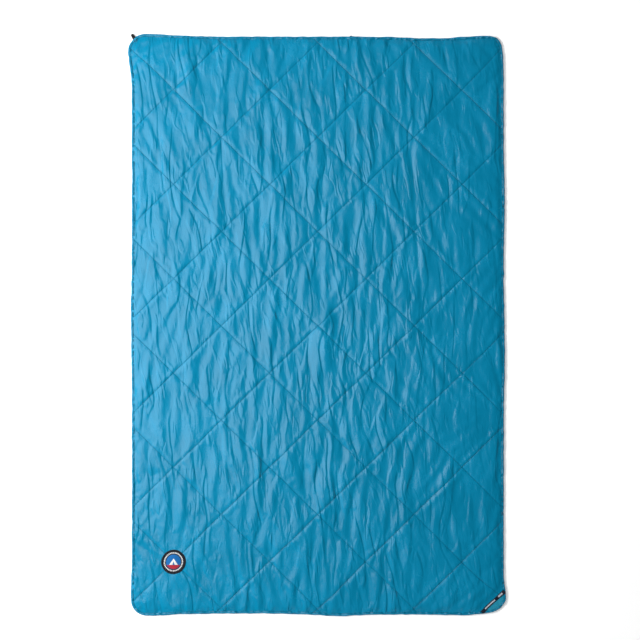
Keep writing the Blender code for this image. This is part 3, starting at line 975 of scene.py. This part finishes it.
def fibre_fill(name):
    """White filling with crossing fibres."""
    paint = Paint(name)
    strands = paint.noise(paint.place((30, 400, 30), 0.5), 1, 5, 0.7)
    crossing = paint.noise(paint.place((400, 30, 30), -0.3), 1, 5, 0.7)
    both = strands + crossing
    return paint.finish(paint.mix(both * 0.5, (0.72, 0.72, 0.70), (0.93, 0.93, 0.91)), 0.9,
                        paint.bump(both, 0.002))


def pale_floor(name, glow):
    paint = Paint(name)
    pale = paint.mix(paint.noise(paint.place(), 260, 3), (0.90, 0.90, 0.90), (0.93, 0.93, 0.93))
    return paint.finish(pale, 0.85, Specular_IOR_Level=0.1, Emission_Color=(1, 1, 1, 1),
                        Emission_Strength=glow)


# ---------------------------------------------------------------- the blanket

layout = Layout(CELLS)
face, face_height = face_surface(layout)
back = back_surface(layout, face_height)

face_nylon = nylon("teal face nylon", TEAL, sewn=True)
face_cloth = doubled_cloth("face_cloth", layout, face, face_nylon)
folds(face_cloth, "face_shell")
back_nylon = nylon("teal back nylon", TEAL, sewn=True)
back_cloth = doubled_cloth("back_cloth", layout, back, back_nylon)
folds(back_cloth, "back_shell")
batting = batting_piece(layout, face, back, fibre_fill("white filling"))
folds(batting, "batting")
binding_nylon = nylon("teal binding nylon", shaded(TEAL, 0.9), hem=True)
edge_binding, top_seam, under_seam = binding_piece(face, back, binding_nylon)
folds(edge_binding, "edge_binding")

teal_thread = thread("teal thread", shaded(TEAL, 0.7), fuzz=0.0)
middles, nexts = quilt_lines()
face_quilting = laid_stitches("face_quilting", face, middles, nexts, 0.0001, teal_thread)
folds(face_quilting, "face_quilting")
back_quilting = laid_stitches("back_quilting", back, middles, nexts, 0.0001, teal_thread)
folds(back_quilting, "back_quilting")
binding_stitch = seam_stitches("binding_stitch", (top_seam, under_seam), teal_thread)
folds(binding_stitch, "binding_stitch")


# Badge: a dark disc with an overlocked rim, a rope ring, and a tent on blue over red ground
badge_at = (BADGE.x, BADGE.y)
badge_black = thread("black overlock thread", (0.005, 0.006, 0.010), 2600, fuzz=0.02)
badge_white = thread("white badge thread", (0.80, 0.81, 0.83), 5200, 0.3)
badge_blue = thread("blue badge thread", (0.003, 0.13, 0.40), 7000, 1.2, fuzz=0.03)
badge_red = thread("red badge thread", (0.42, 0.020, 0.038), 7000, 0.2, fuzz=0.03)
badge_cream = thread("cream badge thread", (0.80, 0.80, 0.77), 7000, -0.5)
badge_twill = thread("black twill", (0.007, 0.008, 0.012), 5200, 0.8, fuzz=0.02)


def badge_piece(name, mesh, material):
    return rides(object_from(name, lay(mesh, face, badge_at), material), "foot_half", name)


base_radius, field_radius = half_span("badge_base"), half_span("badge_field")
rope_radius = half_span("badge_rope") - 0.003
badge_piece("badge_base", disc(base_radius, 0.0001, 0.0008), badge_twill)
rim_width = BADGE_RADIUS - base_radius + 0.0002
badge_rim = merrowed_rim(BADGE_RADIUS - rim_width / 2, rim_width, 0.0017, 180)
badge_piece("badge_border", badge_rim, badge_black)


def rope_stitch(number):
    """Where one slanting stitch of the rope ring goes."""
    turn = 2 * math.pi * number / ROPE_STITCHES
    return (Matrix.Rotation(turn, 4, "Z") @ Matrix.Translation((rope_radius, 0, 0.0011))
            @ Matrix.Rotation(0.6, 4, "Z") @ Matrix.Diagonal((*ROPE_STITCH_SIZE, 1)))


stitch_shape = bmesh.new()
bmesh.ops.create_uvsphere(stitch_shape, u_segments=10, v_segments=6, radius=0.5)
rope = repeated(stitch_shape, ROPE_STITCHES, rope_stitch)
badge_piece("badge_rope", rope, badge_white)
badge_piece("badge_field", disc(field_radius, 0.0009, 0.0005), badge_blue)
tent_low, tent_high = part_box("badge_tent")
half_base, foot, top = half_span("badge_tent"), tent_low.y - BADGE.y, tent_high.y - BADGE.y
tent_outline = ((-half_base, foot), (-DOOR_HALF_WIDTH, foot), (0, foot + DOOR_HEIGHT),
                (DOOR_HALF_WIDTH, foot), (half_base, foot), (0, top))
badge_piece("badge_tent", plate(tent_outline, 0.0014, 0.0005), badge_cream)
ground_low, ground_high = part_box("badge_ground")
ground_radius, ground_top = BADGE.y - ground_low.y, ground_high.y - BADGE.y
ground_turn = math.asin(ground_top / ground_radius)
ground_outline = [(ground_radius * math.cos(turn), ground_radius * math.sin(turn))
                  for turn in np.linspace(-math.pi - ground_turn, ground_turn, 33)]
badge_piece("badge_ground", plate(ground_outline, 0.0014, 0.0005), badge_red)

# Corner: a patch, and a ribbon across it that runs over the binding
def over_binding(x, y):
    """The height that a ribbon has to rise to cross the binding, and its fall over the edge."""
    edge = edge_distance(x, y)
    return 0.0013 * (1 - np.clip((edge - 0.0085) / 0.005, 0, 1)) - 1.2 * np.clip(0.0022 - edge, 0, 0.003)


def slanting(name, mesh, material):
    """A piece of the ribbon, laid slantwise across the corner and over the binding."""
    centre = centre_of(name)
    laid = lay(mesh, face, (centre.x, centre.y), SLANT, over_binding, straight=True)
    return rides(object_from(name, laid, material), "foot_half", name)


patch_mesh = bmesh.new()
bmesh.ops.create_grid(patch_mesh, x_segments=28, y_segments=28, size=0.5)
patch_size = PATCH_REACH - PATCH_INSET
bmesh.ops.scale(patch_mesh, verts=patch_mesh.verts, vec=(patch_size, patch_size, 1))
patch_middle = (HALF_WIDTH - PATCH_INSET - patch_size / 2, -HALF_LENGTH + PATCH_INSET + patch_size / 2)
bmesh.ops.translate(patch_mesh, verts=patch_mesh.verts, vec=(*patch_middle, 0.00012))
bmesh.ops.bisect_plane(patch_mesh, geom=patch_mesh.verts[:] + patch_mesh.edges[:] + patch_mesh.faces[:],
                       plane_co=(*centre_of("corner_ribbon").xy, 0), plane_no=(-1, 1, 0), clear_outer=True)
patch_nylon = nylon("patch nylon", (0.012, 0.25, 0.38), 0.3, 0.42, None)
laid_patch = lay(thicken(patch_mesh, 0.0002), face)
corner_patch = rides(object_from("corner_patch", laid_patch, patch_nylon),
                     "foot_half", "corner_patch")
ribbon_black = thread("black ribbon", (0.005, 0.009, 0.024), 3100, 0.785, fuzz=0.02)
ribbon_grey = thread("grey woven bars", (0.52, 0.54, 0.60), 5200, 0.785)
dark_thread = thread("dark thread", (0.012, 0.012, 0.018))
ribbon_mesh = strip(RIBBON_LENGTH, RIBBON_WIDTH, 0.0008, 0.0005, (210, 8), 0.00007)
corner_ribbon = slanting("corner_ribbon", ribbon_mesh, ribbon_black)
for name, width in (("ribbon_bar_short", 0.0062), ("ribbon_bar_long", 0.0052)):
    length = half_span(name) * 2 * math.sqrt(2) - 0.006
    bar = strip(length, width, 0.00125, 0.0003, (40, 4), 0.00004, 0.0009)
    slanting(name, bar, ribbon_grey)


def bar_tack(name, turn, span, rise, body, material):
    """A short dense row of stitches."""
    along = np.array((math.cos(turn), math.sin(turn)))
    across = np.array((-along[1], along[0]))
    rows = np.linspace(-0.5, 0.5, int(span / TACK_PITCH))
    middles = np.array(centre_of(name).xy) + rows[:, None] * span * across
    nexts = middles + along * 0.001
    above = rise + over_binding(*middles.T)
    piece = stitches(name, face.at(*middles.T, above=above), face.at(*nexts.T, above=above),
                     face.normal(*middles.T), TACK_STITCH_SIZE, material)
    return rides(piece, body, name)


for name in ("ribbon_tack_foot", "ribbon_tack_side"):
    bar_tack(name, SLANT, 0.010, 0.0014, "foot_half", dark_thread)
bar_tack("loop_tack", math.radians(130), 0.014, 0.0003, "head_half", teal_thread)

# Hanging loop of round braid, its sewn ends hidden in the binding
loop_root = Vector(frame["record"]["behaviour"]["joints"][1]["pos_m"])
loop_turn = math.radians(122)
loop_cord, leg_apart, tip_radius, tip_at = 0.0031, 0.0036, 0.0022, 0.0160
climb = np.linspace(-0.009, tip_at, 44)
closing = np.clip(climb / tip_at, 0, 1) ** 2.0
leg = np.stack((-leg_apart + (leg_apart - tip_radius) * closing, climb), 1)
arc = np.linspace(math.pi, 0, 15)[1:-1]
bend = np.stack((tip_radius * np.cos(arc), tip_at + tip_radius * np.sin(arc)), 1)
route = np.concatenate((leg, bend, leg[::-1] * (-1, 1)))
pointing = np.array((math.cos(loop_turn), math.sin(loop_turn)))
sideways = np.array((pointing[1], -pointing[0]))
loop_start = np.array(loop_root.xy) + LOOP_SHIFT
flat_route = loop_start + route[:, :1] * sideways + route[:, 1:] * pointing
height = 0.0044 - 0.0012 * np.clip(route[:, 1] / tip_at, 0, 1)
loop_points = np.concatenate((flat_route, height[:, None]), 1)


def braid_radius(turn, row):
    """The cord's radius, with the crossing ridges of its braid."""
    ridges = math.cos(4 * turn + row * 0.75) * math.cos(4 * turn - row * 0.75)
    return loop_cord * (1 + 0.07 * ridges)


dark_braid = thread("dark braid", (0.012, 0.013, 0.014), 3600, 0.5, fuzz=0.03)
hang_loop = object_from("hang_loop", tube(loop_points, braid_radius), dark_braid)
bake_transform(hang_loop)
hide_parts("hang_loop")

# Tab: the folded end of a piece of tape caught in the head seam
tab_low, tab_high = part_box("edge_tab")
tab_mesh = bmesh.new()
bmesh.ops.create_grid(tab_mesh, x_segments=10, y_segments=18, size=0.5)
fold_radius, tab_reach = 0.0007, 0.0064
for vertex in tab_mesh.verts:
    share = vertex.co.y * 2
    past = abs(share) * (tab_reach + fold_radius * math.pi / 2)
    round_fold = min(past / fold_radius, math.pi / 2)
    run = max(past - fold_radius * math.pi / 2, 0)
    vertex.co = (vertex.co.x * (tab_high.x - tab_low.x), fold_radius * math.cos(round_fold) - run,
                 math.copysign(fold_radius * math.sin(round_fold), share) if share else 0)
bmesh.ops.recalc_face_normals(tab_mesh, faces=tab_mesh.faces)
bmesh.ops.solidify(tab_mesh, geom=tab_mesh.faces[:], thickness=0.0004)
tab_edge = finished_outline(np.array(((tab_low.x + tab_high.x) / 2, HALF_LENGTH, 0)))
bmesh.ops.translate(tab_mesh, verts=tab_mesh.verts, vec=(tab_edge[0], tab_edge[1] + 0.0022, 0.0036))
rides(object_from("edge_tab", tab_mesh, ribbon_black), "head_half", "edge_tab")


# ---------------------------------------------------------------- camera, lights and floor

def area_light(name, place, target, size, power, glossy=True):
    lamp = bpy.data.lights.new(name, "AREA")
    lamp.shape = "RECTANGLE"
    lamp.size, lamp.size_y = size
    lamp.energy = power
    light = add_object(name, lamp)
    light.location = place
    light.rotation_euler = (Vector(target) - Vector(place)).to_track_quat("-Z", "Y").to_euler()
    light.visible_glossy = glossy


camera_data = bpy.data.cameras.new("camera")
camera_data.sensor_width = 36
camera_data.lens = 98.7
camera = add_object("camera", camera_data)
camera.location = (0.0078, 0.0204, 6.2)
bpy.context.scene.camera = camera

area_light("side window", (-3.0, 0.4, 2.3), (0, 0, 0), (2.4, 1.2), 212, glossy=False)
area_light("soft box", (-2.0, 0.1, 3.2), (-0.4, 0, 0), (2.5, 3.4), 58)
area_light("foot fill", (0.3, -4.0, 3.0), (0, 0, 0), (3.0, 1.5), 36, glossy=False)
area_light("head fill", (0.3, 4.0, 3.0), (0, 0, 0), (3.0, 1.5), 36, glossy=False)

world = bpy.data.worlds.new("pale room")
world.use_nodes = True
world.node_tree.nodes["Background"].inputs["Color"].default_value = (1, 1, 1, 1)
world.node_tree.nodes["Background"].inputs["Strength"].default_value = 0.02
bpy.context.scene.world = world
bpy.context.scene.view_settings.view_transform = "Standard"

floor_mesh = bmesh.new()
bmesh.ops.create_circle(floor_mesh, cap_ends=True, segments=64, radius=FLOOR_RADIUS)
wall = bmesh.ops.extrude_edge_only(floor_mesh, edges=floor_mesh.edges[:])["geom"]
wall_top = [item for item in wall if isinstance(item, bmesh.types.BMVert)]
bmesh.ops.translate(floor_mesh, verts=wall_top, vec=(0, 0, WALL_HEIGHT))
for panel in floor_mesh.faces[1:]:
    panel.material_index = 1
bmesh.ops.translate(floor_mesh, verts=floor_mesh.verts, vec=(0, 0, -0.0004))
floor_data = mesh_data("floor", floor_mesh)
floor_data.materials.append(pale_floor("pale floor", 0.8))
floor_data.materials.append(pale_floor("grey wall", 0.25))
floor = add_object("floor", floor_data)
